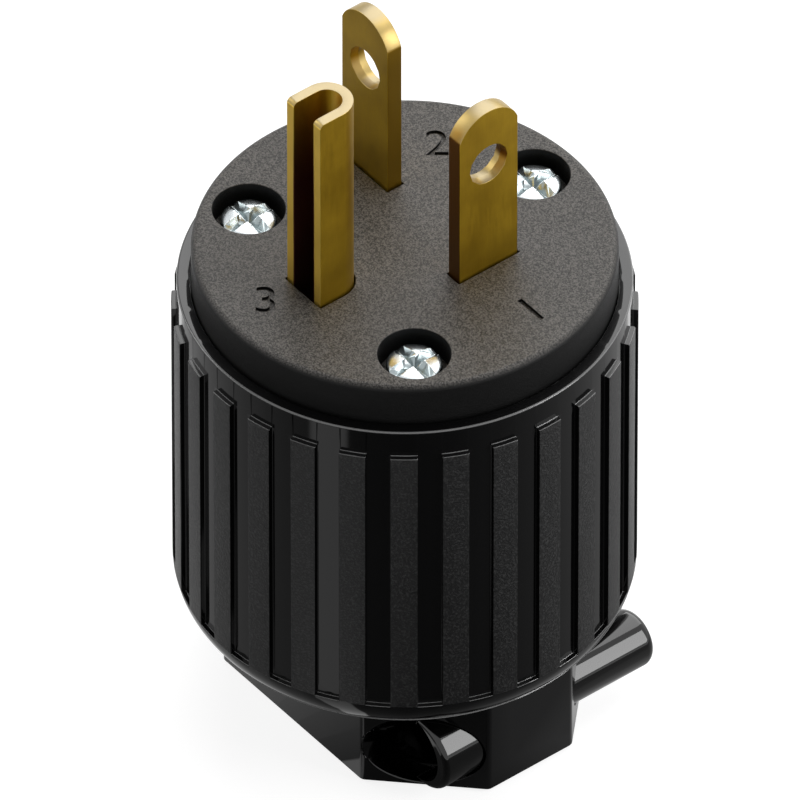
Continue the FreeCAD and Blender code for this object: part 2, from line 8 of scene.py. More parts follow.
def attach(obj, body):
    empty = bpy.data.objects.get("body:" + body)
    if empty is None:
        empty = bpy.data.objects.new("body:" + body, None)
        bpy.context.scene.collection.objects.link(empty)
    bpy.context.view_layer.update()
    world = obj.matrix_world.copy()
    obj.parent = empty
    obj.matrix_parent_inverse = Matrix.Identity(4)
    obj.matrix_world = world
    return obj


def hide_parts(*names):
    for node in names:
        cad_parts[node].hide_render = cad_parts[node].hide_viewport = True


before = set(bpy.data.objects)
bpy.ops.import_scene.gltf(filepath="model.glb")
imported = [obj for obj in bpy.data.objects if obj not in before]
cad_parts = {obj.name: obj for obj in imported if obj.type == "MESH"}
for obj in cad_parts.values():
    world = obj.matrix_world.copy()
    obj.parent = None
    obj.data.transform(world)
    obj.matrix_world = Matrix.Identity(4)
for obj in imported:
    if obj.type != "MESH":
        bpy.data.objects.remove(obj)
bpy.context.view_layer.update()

# Room: a pale floor under soft studio light, seen through a very long lens from above the
# upright blade's side. Lengths are in metres here and in millimetres in every section after it.
VIEW_AZIMUTH = math.radians(51.6)
VIEW_ELEVATION = math.radians(43.0)
LENS_MM = 1600
SENSOR_MM = 36
FRAME_WIDTH = 0.06916
AIM_RIGHT = -0.000415
AIM_UP = 0.03081
LAMP_AWAY = 0.9
ROOM_GLOW = 0.2
WHITE = (1.0, 1.0, 1.0, 1.0)
BLACK = (0.0, 0.0, 0.0, 1.0)
GROUND_Z = -0.0003
GROUND_GLOW = 0.85
SHEET_Z = -0.0002
DARK_OVAL = (0.016, 0.0115)

scene = bpy.context.scene
scene.view_settings.view_transform = "Standard"
toward = Vector((math.sin(VIEW_AZIMUTH) * math.cos(VIEW_ELEVATION),
                 -math.cos(VIEW_AZIMUTH) * math.cos(VIEW_ELEVATION), math.sin(VIEW_ELEVATION)))
rightward = Vector((math.cos(VIEW_AZIMUTH), math.sin(VIEW_AZIMUTH), 0))
aim = rightward * AIM_RIGHT + Vector((0, 0, AIM_UP))
lens = bpy.data.cameras.new("view")
lens.lens = LENS_MM
lens.sensor_width = SENSOR_MM
lens.clip_start = 0.1
lens.clip_end = 100
camera = bpy.data.objects.new("view", lens)
camera.location = aim + toward * (FRAME_WIDTH * LENS_MM / SENSOR_MM)
camera.rotation_euler = toward.to_track_quat("Z", "Y").to_euler()
scene.collection.objects.link(camera)
scene.camera = camera


def softbox(name, azimuth, elevation, width, height, power):
    """Rectangular lamp that looks at the middle of the plug from a direction given in degrees."""
    a, e = math.radians(azimuth), math.radians(elevation)
    back = Vector((math.sin(a) * math.cos(e), -math.cos(a) * math.cos(e), math.sin(e)))
    lamp = bpy.data.lights.new(name, "AREA")
    lamp.shape = "RECTANGLE"
    lamp.size = width
    lamp.size_y = height
    lamp.energy = power
    made = bpy.data.objects.new(name, lamp)
    made.location = back * LAMP_AWAY + Vector((0, 0, AIM_UP))
    made.rotation_euler = back.to_track_quat("Z", "Y").to_euler()
    scene.collection.objects.link(made)


softbox("tall", 124, 24, 0.36, 0.66, 4.2)
softbox("wide", 210, 50, 1.0, 1.2, 9.8)
softbox("side", 300, 30, 0.3, 0.6, 1.6)


def seen_rays(nodes, links):
    """One for rays from the lens, off a mirror or through glass, and nought for the rays that only
    carry light, so that white surroundings don't light the plug."""
    light_path = nodes.new("ShaderNodeLightPath")
    seen = nodes.new("ShaderNodeMath")
    seen.operation = "MAXIMUM"
    links.new(light_path.outputs["Is Camera Ray"], seen.inputs[0])
    links.new(light_path.outputs["Is Glossy Ray"], seen.inputs[1])
    seen_through = nodes.new("ShaderNodeMath")
    seen_through.operation = "MAXIMUM"
    links.new(seen.outputs[0], seen_through.inputs[0])
    links.new(light_path.outputs["Is Transmission Ray"], seen_through.inputs[1])
    return seen_through.outputs[0]


world = bpy.data.worlds.new("room")
scene.world = world
world.use_nodes = True
room_nodes = world.node_tree.nodes
room_links = world.node_tree.links
strength = room_nodes.new("ShaderNodeMapRange")
strength.inputs["To Min"].default_value = ROOM_GLOW
strength.inputs["To Max"].default_value = 1.0
room_links.new(seen_rays(room_nodes, room_links), strength.inputs["Value"])
backdrop = room_nodes["Background"]
backdrop.inputs["Color"].default_value = WHITE
room_links.new(strength.outputs[0], backdrop.inputs["Strength"])

bpy.ops.mesh.primitive_plane_add(size=6.0)
floor = bpy.context.object
floor.location.z = GROUND_Z
floor.name = "floor"
floor_paint = bpy.data.materials.new("floor_paint")
floor_paint.use_nodes = True
floor_nodes = floor_paint.node_tree.nodes
floor_links = floor_paint.node_tree.links
floor_coat = floor_nodes["Principled BSDF"]
floor_coat.inputs["Base Color"].default_value = (0.35, 0.35, 0.35, 1)
floor_coat.inputs["Roughness"].default_value = 0.9
floor_coat.inputs["Specular IOR Level"].default_value = 0.0
floor_coat.inputs["Emission Strength"].default_value = 1.0
# No light reaches the floor inside the clamp housing, so it doesn't glow within an oval there.
floor_spot = floor_nodes.new("ShaderNodeTexCoord")
floor_oval = floor_nodes.new("ShaderNodeMapping")
floor_oval.inputs["Scale"].default_value = (1 / DARK_OVAL[0], 1 / DARK_OVAL[1], 1)
floor_inside = floor_nodes.new("ShaderNodeTexGradient")
floor_inside.gradient_type = "SPHERICAL"
floor_lit = floor_nodes.new("ShaderNodeMapRange")
floor_lit.inputs["From Max"].default_value = 0.02
floor_lit.inputs["To Min"].default_value = GROUND_GLOW
floor_lit.inputs["To Max"].default_value = 0.0
floor_links.new(floor_spot.outputs["Object"], floor_oval.inputs["Vector"])
floor_links.new(floor_oval.outputs[0], floor_inside.inputs["Vector"])
floor_links.new(floor_inside.outputs["Fac"], floor_lit.inputs["Value"])
floor_glow = floor_nodes.new("ShaderNodeMapRange")
floor_links.new(floor_lit.outputs[0], floor_glow.inputs["To Max"])
floor_links.new(seen_rays(floor_nodes, floor_links), floor_glow.inputs["Value"])
floor_links.new(floor_glow.outputs[0], floor_coat.inputs["Emission Color"])
floor.data.materials.append(floor_paint)

# What polished black walls mirror: a sheet just above the floor that only reflections see. A wall
# at an angle a from the lens mirrors it along 2a, so its rows run out from the wall that way. It is
# dark in front, lightens to the sides with 1 - cos a, and has one white strip on the left.
WALL_R = 0.0197
FRONT_GLOW = 0.05
SIDE_GLOW = 0.82
STRIP_GLOW = 0.62
STRIP_FROM = -24
STRIP_TO = -15
strip_edges = [STRIP_FROM - 1, STRIP_FROM, STRIP_TO, STRIP_TO + 1]
wall_angles = np.unique(np.concatenate([np.arange(-100, 101, 12.5), strip_edges]))
wall = np.radians(wall_angles)[:, None]
side_share = 1 - np.cos(np.clip(wall, -math.pi / 2, math.pi / 2))
glow_levels = FRONT_GLOW + (SIDE_GLOW - FRONT_GLOW) * side_share
glow_levels[(wall_angles >= STRIP_FROM) & (wall_angles <= STRIP_TO)] = STRIP_GLOW
mirrored = np.radians(np.clip(2 * wall_angles, -150, 150))[:, None]
run_out = np.array([[0.0, 0.052, 0.060, 0.12]])
near_x, near_y = WALL_R * np.sin(wall), -WALL_R * np.cos(wall)
sheet_x = np.hstack([near_x * 0.1, near_x + run_out * np.sin(mirrored)])
sheet_y = np.hstack([near_y * 0.1, near_y - run_out * np.cos(mirrored)])
c, s = math.cos(VIEW_AZIMUTH), math.sin(VIEW_AZIMUTH)
sheet_points = np.stack([sheet_x * c - sheet_y * s, sheet_x * s + sheet_y * c,
                         0 * sheet_x + SHEET_Z], axis=-1)
rows, cols = sheet_x.shape
corner = (np.arange(rows - 1)[:, None] * cols + np.arange(cols - 1)).reshape(-1, 1)
sheet_mesh = bpy.data.meshes.new("mirrored_sheet")
sheet_faces = corner + [0, 1, cols + 1, cols]
sheet_mesh.from_pydata(sheet_points.reshape(-1, 3).tolist(), [], sheet_faces.tolist())
glow_mark = sheet_mesh.attributes.new("glow", "FLOAT", "POINT")
# Further out the sheet gets darker on one side and brighter on the other, but not at the back.
far_share = np.where(wall_angles[:, None] < 0, [1, 1, 1, 0.25, 0.1], [1, 1, 1, 1.3, 1.3])
far_share[wall_angles < -70] = 1
glow_mark.data.foreach_set("value", (glow_levels * far_share).ravel().astype(np.float32))
mirrored_sheet = bpy.data.objects.new("mirrored_sheet", sheet_mesh)
scene.collection.objects.link(mirrored_sheet)
sheet_paint = bpy.data.materials.new("sheet_paint")
sheet_paint.use_nodes = True
sheet_nodes = sheet_paint.node_tree.nodes
sheet_coat = sheet_nodes["Principled BSDF"]
sheet_coat.inputs["Base Color"].default_value = BLACK
sheet_coat.inputs["Specular IOR Level"].default_value = 0.0
sheet_coat.inputs["Emission Strength"].default_value = 1.0
sheet_glow = sheet_nodes.new("ShaderNodeAttribute")
sheet_glow.attribute_name = "glow"
sheet_paint.node_tree.links.new(sheet_glow.outputs["Fac"], sheet_coat.inputs["Emission Color"])
sheet_mesh.materials.append(sheet_paint)
mirrored_sheet.visible_camera = False
mirrored_sheet.visible_diffuse = False
mirrored_sheet.visible_shadow = False


# Shell: the black nylon cup with its raised grip ribs, moulded in one with the chamfered clamp
# housing under it. Rib tops carry a spark-eroded grain and the rest is polished. Three bosses
# inside take the screws of the face.
MM = 0.001
HOUSING_H = 9.5
RIM_Z = 45.3
GROOVE_R = 19.7
RIB_R = 20.17
RIB_W = 2.38
RIB_COUNT = 28
RIB_FOOT_Z = 13.3
RIB_TOP_Z = 42.6
RIB_EDGE = 0.09
CUP_ROUND = 4.2
PARTING_STEP = 0.06
RIM_ROUND = 0.18
LIP_ROUND = 0.15
CUP_R = 17.8
CUP_INNER_ROUND = 2.0
FACE_R = 18.44
FIT = 0.1
SEAT_Z = 42.4
FLOOR_Z = 11.7
CORD_HOLE_R = 8.3
SEAL_SEAT_R = 10.5
SEAL_SEAT_DEPTH = 0.8
HOUSING_X = 17.58
HOUSING_Y = 12.47
HOUSING_CHAMFER = 7.9
HOUSING_ROUND = 0.7
HOUSING_WALL_X = 1.5
HOUSING_WALL_Y = 2.0
HOUSING_ROOF_T = 1.1
HOUSING_LAP = 1.5
HOUSING_EDGE = 0.15
BOSS_R = 3.9
BOSS_LOW_Z = 11.0
BOSS_TOP_Z = 38.4
INSERT_R = 2.5
INSERT_LOW_Z = 30.4
SCREW_HOLE_R = 1.7
TUBE_WAY_R = 3.8
POST_WAY_R = 2.85
WAY_REACH = 20.0
SHELL_BLACK = (0.0016, 0.0016, 0.0018, 1)


def arc(x, y, radius, start, end, steps=4):
    """Points on a circle: its middle plus the radius times cosine and sine of even angles, which
    are given in degrees."""
    a = np.radians(np.linspace(start, end, steps + 1))
    return np.stack([x + radius * np.cos(a), y + radius * np.sin(a)], axis=1)


def cells(rows, cols, wrap_rows, wrap_cols):
    """Corner numbers of every cell of a grid: a point, its neighbour in the row, and the two in
    the next row."""
    i, j = np.meshgrid(np.arange(rows - (not wrap_rows)), np.arange(cols - (not wrap_cols)),
                       indexing="ij")
    i2, j2 = (i + 1) % rows, (j + 1) % cols
    corners = [i * cols + j, i * cols + j2, i2 * cols + j2, i2 * cols + j]
    return np.stack(corners, axis=-1).reshape(-1, 4)


def mesh_from(name, sheets, caps=(), grain=None):
    """Mesh from (points, wrap_rows, wrap_cols) grids in millimetres. The first and last rows of
    the sheets whose numbers are in caps are capped, and each sheet is turned to face outwards,
    which its volume's sign tells."""
    whole = bmesh.new()
    for number, (points, wrap_rows, wrap_cols) in enumerate(sheets):
        rows, cols = points.shape[:2]
        faces = cells(rows, cols, wrap_rows, wrap_cols).tolist()
        if number in caps:
            faces.append(list(range(cols)))
            faces.append(list(range((rows - 1) * cols, rows * cols)))
        sheet = bpy.data.meshes.new(name)
        sheet.from_pydata((points.reshape(-1, 3) * MM).tolist(), [], faces)
        if grain is not None:
            mark = sheet.attributes.new("grain", "FLOAT", "POINT")
            mark.data.foreach_set("value", grain.astype(np.float32).ravel())
        work = bmesh.new()
        work.from_mesh(sheet)
        bmesh.ops.remove_doubles(work, verts=work.verts, dist=1e-7)
        bmesh.ops.dissolve_degenerate(work, edges=work.edges, dist=1e-8)
        bmesh.ops.recalc_face_normals(work, faces=work.faces)
        if work.calc_volume(signed=True) < 0:
            bmesh.ops.reverse_faces(work, faces=work.faces)
        work.to_mesh(sheet)
        work.free()
        whole.from_mesh(sheet)
        bpy.data.meshes.remove(sheet)
    mesh = bpy.data.meshes.new(name)
    whole.to_mesh(mesh)
    whole.free()
    return mesh


def capped(name, points):
    """Mesh of one grid of rings, capped at both ends."""
    return mesh_from(name, [(points, False, True)], caps=(0,))


def stacked(rings):
    """Grid of (outline, height) rings."""
    return np.stack([np.column_stack([ring, np.full(len(ring), z)]) for ring, z in rings])


def turned(profile, segments, middle=(0, 0, 0), axis="z"):
    """Grid of a turned shape: each (radius, height) of the profile swept round an axis by cosine
    and sine."""
    a = np.linspace(0, 2 * math.pi, segments, endpoint=False)
    r, h = profile[:, 0, None], profile[:, 1, None] + 0 * a
    x, y = r * np.cos(a), r * np.sin(a)
    spun = {"z": (x, y, h), "y": (x, h, -y), "-y": (x, -h, y)}[axis]
    return np.stack(spun, axis=-1) + np.array(middle)


def linked(name, mesh):
    """Object for a mesh or a letter, in the scene."""
    obj = bpy.data.objects.new(name, mesh)
    scene.collection.objects.link(obj)
    return obj


def carve(obj, cutters):
    """Takes the cutters' meshes out of a piece and bakes the result into its mesh."""
    for cutter in cutters:
        tool = linked("cutter", cutter)
        cut = obj.modifiers.new("cut", "BOOLEAN")
        cut.operation = "DIFFERENCE"
        cut.solver = "EXACT"
        cut.object = tool
        bpy.context.view_layer.update()
        done = obj.evaluated_get(bpy.context.evaluated_depsgraph_get())
        fresh = bpy.data.meshes.new_from_object(done)
        obj.modifiers.clear()
        obj.data = fresh
        bpy.data.objects.remove(tool)


def place(name, mesh, body, nodes, material, soft=0.0, angle=30):
    """Shows a mesh, or an object that is in the scene already, as a piece: smooth up to an angle,
    its sharp edges softened by a bevel where asked."""
    obj = linked(name, mesh) if isinstance(mesh, bpy.types.Mesh) else mesh
    obj.data.shade_smooth()
    obj.data.set_sharp_from_angle(angle=math.radians(angle))
    if soft:
        bevel = obj.modifiers.new("softened", "BEVEL")
        bevel.width = soft * MM
        bevel.segments = 3
        bevel.limit_method = "ANGLE"
        bevel.angle_limit = math.radians(angle)
        bevel.use_clamp_overlap = False
    flat = obj.modifiers.new("flat", "WEIGHTED_NORMAL")
    flat.keep_sharp = not soft
    obj.data.materials.clear()
    obj.data.materials.append(material)
    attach(obj, body)
    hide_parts(*nodes)


class Wire:
    """An output of a material's node; arithmetic on it adds Math nodes."""

    def __init__(self, tree, socket):
        self.tree = tree
        self.socket = socket

    def node(self, kind, settings=None, out=0, **sockets):
        """A node of a kind, its settings first, then the values or wires of its sockets."""
        made = self.tree.nodes.new(kind)
        for key, value in (settings or {}).items():
            if key == "stops":
                ramp = made.color_ramp
                while len(ramp.elements) < len(value):
                    ramp.elements.new(0.5)
                for element, (at, tone) in zip(ramp.elements, value):
                    element.position = at
                    element.color = tone
            else:
                setattr(made, key, value)
        for key, value in sockets.items():
            target = made.inputs[int(key[1:]) if key[0] == "_" else key.replace("_", " ")]
            if isinstance(value, Wire):
                self.tree.links.new(value.socket, target)
            else:
                target.default_value = value
        return Wire(self.tree, made.outputs[out])

    def math(self, operation, other):
        return self.node("ShaderNodeMath", {"operation": operation}, _0=self, _1=other)

    def __add__(self, other):
        return self.math("ADD", other)

    __radd__ = __add__

    def __mul__(self, other):
        return self.math("MULTIPLY", other)

    __rmul__ = __mul__

    def __sub__(self, other):
        return self.math("SUBTRACT", other)

    def __rsub__(self, other):
        return self.node("ShaderNodeMath", {"operation": "SUBTRACT"}, _0=other, _1=self)


def finish_of(name, **constants):
    """A new material: its Principled node with constants set on it, and the Object coordinates
    to build from."""
    made = bpy.data.materials.new(name)
    made.use_nodes = True
    tree = made.node_tree
    shader = tree.nodes["Principled BSDF"]
    for key, value in constants.items():
        shader.inputs[key.replace("_", " ")].default_value = value
    coords = tree.nodes.new("ShaderNodeTexCoord")
    return made, shader, Wire(tree, coords.outputs["Object"])


def feed(shader, **wires):
    """Links wires to the Principled node's inputs."""
    for key, wire in wires.items():
        wire.tree.links.new(wire.socket, shader.inputs[key.replace("_", " ")])


def mixed(factor, low, high):
    """Colour between two, by a wire that goes from 0 to 1."""
    return factor.node("ShaderNodeMix", {"data_type": "RGBA"}, out=2, Factor=factor, _6=low,
                       _7=high)


def part_of(vector, axis):
    """A vector's part along X, Y or Z, as 0, 1 or 2."""
    return vector.node("ShaderNodeSeparateXYZ", out=axis, Vector=vector)


def facing(at, axis):
    """The part along an axis of the surface's normal."""
    return part_of(at.node("ShaderNodeNewGeometry", out="Normal"), axis)


shell_black, shader, at = finish_of("shell_black", Specular_IOR_Level=0.5)
grained = at.node("ShaderNodeAttribute", {"attribute_name": "grain"}, out="Fac")
speckle = at.node("ShaderNodeTexNoise", Vector=at, Scale=4600.0, Detail=3.0, Roughness=0.7)
spots = at.node("ShaderNodeValToRGB", {"stops": [(0.52, BLACK), (0.6, WHITE)]}, Fac=speckle)
smear = at.node("ShaderNodeTexNoise", Vector=at, Scale=260.0, Detail=3.0)
tone = mixed(grained * spots, SHELL_BLACK, (0.030, 0.030, 0.030, 1))
# Painted highlight: faces tilted upwards above the housing (the rounded edges of the rim, rib heads
# and ledges) are painted lighter grey.
highlight_tilt = [(0.25, BLACK), (0.5, WHITE), (0.8, WHITE), (0.95, BLACK)]
edge_highlight = at.node("ShaderNodeValToRGB", {"stops": highlight_tilt}, Fac=facing(at, 2))
above = at.node("ShaderNodeMapRange", Value=part_of(at, 2), From_Min=0.0098, From_Max=0.0105)
highlighted = mixed(edge_highlight * above, tone, (0.2, 0.2, 0.2, 1))
feed(shader, Base_Color=highlighted, Roughness=0.06 + 0.03 * smear + 0.32 * grained,
     Normal=at.node("ShaderNodeBump", Strength=1.0, Distance=0.00008, Height=speckle * grained))


def rib_section():
    """Half a rib and half a groove as (distance, rise from 0 to 1): flat top, round edge, flank,
    round foot."""
    rise = RIB_R - GROOVE_R
    half = RIB_W / 2
    top = arc(half - RIB_EDGE, rise - RIB_EDGE, RIB_EDGE, 90, 0, 3)
    foot = arc(half + RIB_EDGE, RIB_EDGE, RIB_EDGE, 180, 270, 3)
    middle = math.pi * RIB_R / RIB_COUNT
    flat = np.array([[0, rise], [half / 2, rise]])
    floor_points = np.array([[(half + middle) / 2, 0]])
    side = np.concatenate([flat, top, foot, floor_points])
    whole = np.concatenate([side[:0:-1] * [-1, 1], side, [[middle, 0]]])
    return whole[:, 0], whole[:, 1] / rise


def cup_points():
    """Cup with its ribs: a profile turned about Z, whose radius falls to the groove's where the
    section has no rib. Each row has its height, its radius on a rib, how far a groove is sunk in
    it, and how much of the rib is left."""
    across, rise = rib_section()
    turn = 2 * math.pi / RIB_COUNT
    a = (math.pi / 2 + np.arange(RIB_COUNT)[:, None] * turn + across / RIB_R).ravel()
    b = np.tile(rise, RIB_COUNT)
    step = RIB_R - GROOVE_R
    core = RIB_R - CUP_ROUND
    core_z = HOUSING_H + CUP_ROUND
    foot_deg = math.degrees(math.asin((RIB_FOOT_Z - RIB_EDGE - core_z) / CUP_ROUND))
    under = np.concatenate([[[CORD_HOLE_R, HOUSING_H]],
                            arc(core + PARTING_STEP, core_z - PARTING_STEP, CUP_ROUND, -90, -44, 8),
                            arc(core, core_z, CUP_ROUND, -44, foot_deg, 8)])
    foot = np.concatenate([arc(RIB_EDGE, RIB_FOOT_Z - RIB_EDGE, RIB_EDGE, 180, 90, 3),
                           arc(step - RIB_EDGE, RIB_FOOT_Z + RIB_EDGE, RIB_EDGE, -90, 0, 3)])
    run = np.linspace(RIB_FOOT_Z + 1, RIB_TOP_Z - 1, 6)
    head = np.concatenate([arc(step - RIB_EDGE, RIB_TOP_Z - RIB_EDGE, RIB_EDGE, 0, 90, 3),
                           arc(RIB_EDGE, RIB_TOP_Z + RIB_EDGE, RIB_EDGE, -90, -180, 3)])
    wall_r = FACE_R + FIT
    rim = np.concatenate([
        arc(GROOVE_R - RIM_ROUND, RIM_Z - RIM_ROUND, RIM_ROUND, 0, 90, 5),
        arc(wall_r + LIP_ROUND, RIM_Z - LIP_ROUND, LIP_ROUND, 90, 180, 3),
        [[wall_r, SEAT_Z], [CUP_R, SEAT_Z]],
        arc(CUP_R - CUP_INNER_ROUND, FLOOR_Z + CUP_INNER_ROUND, CUP_INNER_ROUND, 0, -90, 4),
        [[SEAL_SEAT_R, FLOOR_Z], [SEAL_SEAT_R, FLOOR_Z - SEAL_SEAT_DEPTH],
         [CORD_HOLE_R, FLOOR_Z - SEAL_SEAT_DEPTH]],
    ])
    fall = np.clip(core_z - foot[:, 1], 0, None)
    foot_r = core + np.sqrt(CUP_ROUND ** 2 - fall ** 2)
    z = np.concatenate([under[:, 1], foot[:, 1], run, head[:, 1], rim[:, 1]])
    straight = len(run) + len(head)
    high = np.concatenate([under[:, 0], foot_r, np.full(straight, RIB_R), rim[:, 0]])
    sunk = np.concatenate([np.zeros(len(under)), foot[:, 0], np.full(straight, step),
                           np.zeros(len(rim))])
    left = np.concatenate([np.ones(len(under) + len(foot) + len(run)), head[:, 0] / step,
                           np.zeros(len(rim))])
    r = high[:, None] - sunk[:, None] * (1 - left[:, None] * b)
    points = np.stack([r * np.cos(a), r * np.sin(a), z[:, None] + 0 * r], axis=-1)
    on_rib = (r > RIB_R - 0.02) & (z[:, None] > RIB_FOOT_Z - 0.4) & (b > 0.9)
    return points, on_rib


def chamfered(half_x, half_y, chamfer, rounding, flats=4):
    """Outline of a box with its corners cut at 45 degrees and each of the eight corners rounded
    to an arc."""
    cut_x, cut_y = half_x - chamfer, half_y - chamfer
    corners = np.array([(half_x, -cut_y), (half_x, cut_y), (cut_x, half_y), (-cut_x, half_y),
                        (-half_x, cut_y), (-half_x, -cut_y), (-cut_x, -half_y), (cut_x, -half_y)])
    middle_in = rounding / math.cos(math.pi / 8)
    out = []
    for k, corner in enumerate(corners):
        before = corners[k - 1] - corner
        after = corners[(k + 1) % 8] - corner
        inward = before / np.linalg.norm(before) + after / np.linalg.norm(after)
        middle = corner + inward / np.linalg.norm(inward) * middle_in
        outward = math.degrees(math.atan2(-inward[1], -inward[0]))
        out.append(arc(middle[0], middle[1], rounding, outward - 22.5, outward + 22.5, 4))
    joined = []
    for k, points in enumerate(out):
        joined.append(points)
        nxt = out[(k + 1) % 8][0]
        share = np.linspace(0, 1, flats + 1)[1:-1, None]
        joined.append(points[-1] + (nxt - points[-1]) * share)
    return np.concatenate(joined)


def housing_points():
    """Clamp housing: rings of an outline at falling and rising heights, from the cup down the
    outside, over the lower edge, up the inside to the roof and through the cord hole."""
    outer = chamfered(HOUSING_X, HOUSING_Y, HOUSING_CHAMFER, HOUSING_ROUND)
    slant = HOUSING_X + HOUSING_Y - HOUSING_CHAMFER - HOUSING_WALL_Y * math.sqrt(2)
    inner_x, inner_y = HOUSING_X - HOUSING_WALL_X, HOUSING_Y - HOUSING_WALL_Y
    inner = chamfered(inner_x, inner_y, inner_x + inner_y - slant, 0.5)
    turn = np.arctan2(inner[:, 1], inner[:, 0])
    hole = CORD_HOLE_R * np.stack([np.cos(turn), np.sin(turn)], axis=1)
    edge = HOUSING_EDGE
    roof, top = HOUSING_H - HOUSING_ROOF_T, HOUSING_H + HOUSING_LAP
    small = chamfered(HOUSING_X - edge, HOUSING_Y - edge,
                      HOUSING_CHAMFER - edge * (2 - math.sqrt(2)), HOUSING_ROUND)
    wide = inner + inner / np.linalg.norm(inner, axis=1)[:, None] * edge
    return stacked([(outer, top), (outer, edge), (outer + (small - outer) * 0.3, edge * 0.3),
                    (small, 0), (wide, 0), (inner, edge), (inner, roof), (hole, roof), (hole, top)])


def boss_profile():
    """Boss with its stepped bore, as (radius, height)."""
    return np.array([(SCREW_HOLE_R, BOSS_LOW_Z), (BOSS_R, BOSS_LOW_Z), (BOSS_R, BOSS_TOP_Z),
                     (INSERT_R, BOSS_TOP_Z), (INSERT_R, INSERT_LOW_Z),
                     (SCREW_HOLE_R, INSERT_LOW_Z)])


SCREW_SPREAD = 124.6
SCREW_FIRST = 89.5
SCREW_RING = 14.1
screw_turns = [math.radians(SCREW_FIRST + k * SCREW_SPREAD) for k in (0, 1, -1)]
screw_places = [(SCREW_RING * math.cos(a), SCREW_RING * math.sin(a)) for a in screw_turns]
CLAMP_X = 13.5
CLAMP_Z = 4.15

cup, on_rib = cup_points()
cup_mesh = mesh_from("shell_cup", [(cup, True, True)], grain=on_rib)
housing = linked("clamp_housing", mesh_from("clamp_housing", [(housing_points(), True, True)]))
ways = []
for side in (-1, 1):
    for radius, start, way in ((TUBE_WAY_R, 0.0, "-y"), (POST_WAY_R, -0.2, "y")):
        rod = np.array([(radius, start), (radius, WAY_REACH)])
        ways.append(capped("way", turned(rod, 96, (side * CLAMP_X, 0, CLAMP_Z), way)))
carve(housing, ways)
place("shell_cup", cup_mesh, "root", ["shell"], shell_black)
place("clamp_housing", housing, "root", ["shell"], shell_black, soft=0.12)
bosses = [(turned(boss_profile(), 48, (x, y, 0)), True, True) for x, y in screw_places]
place("shell_bosses", mesh_from("shell_bosses", bosses), "root", ["shell"],
      shell_black)


# Face: the dark nylon disc that the contacts come through, with a fine grain on its top, which is
# painted lighter grey as a painted sheen. The three wells hold the screws, and the slots follow the
# blades and the folded pin closely.
FACE_Z = 49.4
FACE_ROUND = 0.6
WELL_R = 3.17
WELL_DEPTH = 2.6
BLADE_W = 6.35
BLADE_T = 1.52
UPRIGHT_X = 6.2
CROSS_X = -9.21
BLADES_Y = 3.67
SLOT_GAP = 0.13
PIN_X = -0.39
PIN_Y = -8.24
PIN_R = 2.32
PIN_LEG = 2.52
NUMBER_SIZE = 4.6
NUMBER_CUT = 0.3


def block(x, y, half_x, half_y, z0, z1):
    """Box as a grid of two rings of four corners."""
    ring = np.array([(x - half_x, y - half_y), (x + half_x, y - half_y),
                     (x + half_x, y + half_y), (x - half_x, y + half_y)])
    return stacked([(ring, z0), (ring, z1)])


def pin_ring(radius, gap):
    """Outside of the folded pin: half a circle and two legs down to the free edges."""
    back = arc(PIN_X, PIN_Y, radius, 0, 180, 32)
    low = PIN_Y - PIN_LEG - gap
    return np.concatenate([back, [[PIN_X - radius, low], [PIN_X + radius, low]]])


disc = np.concatenate([
    [[FACE_R, SEAT_Z]], arc(FACE_R - FACE_ROUND, FACE_Z - FACE_ROUND, FACE_ROUND, 0, 90, 8),
])
face = linked("face_disc", capped("face_disc", turned(disc, 192)))
slot_ring = pin_ring(PIN_R + SLOT_GAP, SLOT_GAP)
under, over, well_z = SEAT_Z - 1, FACE_Z + 1, FACE_Z - WELL_DEPTH
half_w, half_t = BLADE_W / 2 + SLOT_GAP, BLADE_T / 2 + SLOT_GAP
face_cuts = [
    block(UPRIGHT_X, BLADES_Y, half_t, half_w, under, over),
    block(CROSS_X, BLADES_Y, half_w, half_t, under, over),
    stacked([(slot_ring, under), (slot_ring, over)]),
]
well = np.array([(WELL_R, well_z), (WELL_R, over)])
shank_hole = np.array([(SCREW_HOLE_R, under), (SCREW_HOLE_R, well_z + 0.5)])
for x, y in screw_places:
    face_cuts += [turned(well, 96, (x, y, 0)), turned(shank_hole, 48, (x, y, 0))]
carve(face, [capped("cut", points) for points in face_cuts])

wells_soft = face.modifiers.new("softened", "BEVEL")
wells_soft.width = 0.1 * MM
wells_soft.segments = 3
wells_soft.limit_method = "ANGLE"
wells_soft.use_clamp_overlap = False
numbers = (("1", 13.2, 3.2, -math.pi / 2), ("2", -8.0, 9.9, VIEW_AZIMUTH),
           ("3", -1.6, -14.0, VIEW_AZIMUTH))
for digit, x, y, turn in numbers:
    letter = bpy.data.curves.new("contact_number", "FONT")
    letter.body = digit
    letter.size = NUMBER_SIZE
    letter.extrude = NUMBER_CUT
    letter.align_x = "CENTER"
    letter.align_y = "CENTER"
    number = linked("contact_number", letter)
    bpy.context.view_layer.update()
    done = number.evaluated_get(bpy.context.evaluated_depsgraph_get())
    stamp = bpy.data.meshes.new_from_object(done)
    bpy.data.objects.remove(number)
    spot = Matrix.Translation((x * MM, y * MM, FACE_Z * MM))
    stamp.transform(spot @ Matrix.Rotation(turn, 4, "Z") @ Matrix.Scale(MM, 4))
    work = bmesh.new()
    work.from_mesh(stamp)
    bmesh.ops.remove_doubles(work, verts=work.verts, dist=1e-7)
    bmesh.ops.recalc_face_normals(work, faces=work.faces)
    work.to_mesh(stamp)
    work.free()
    carve(face, [stamp])

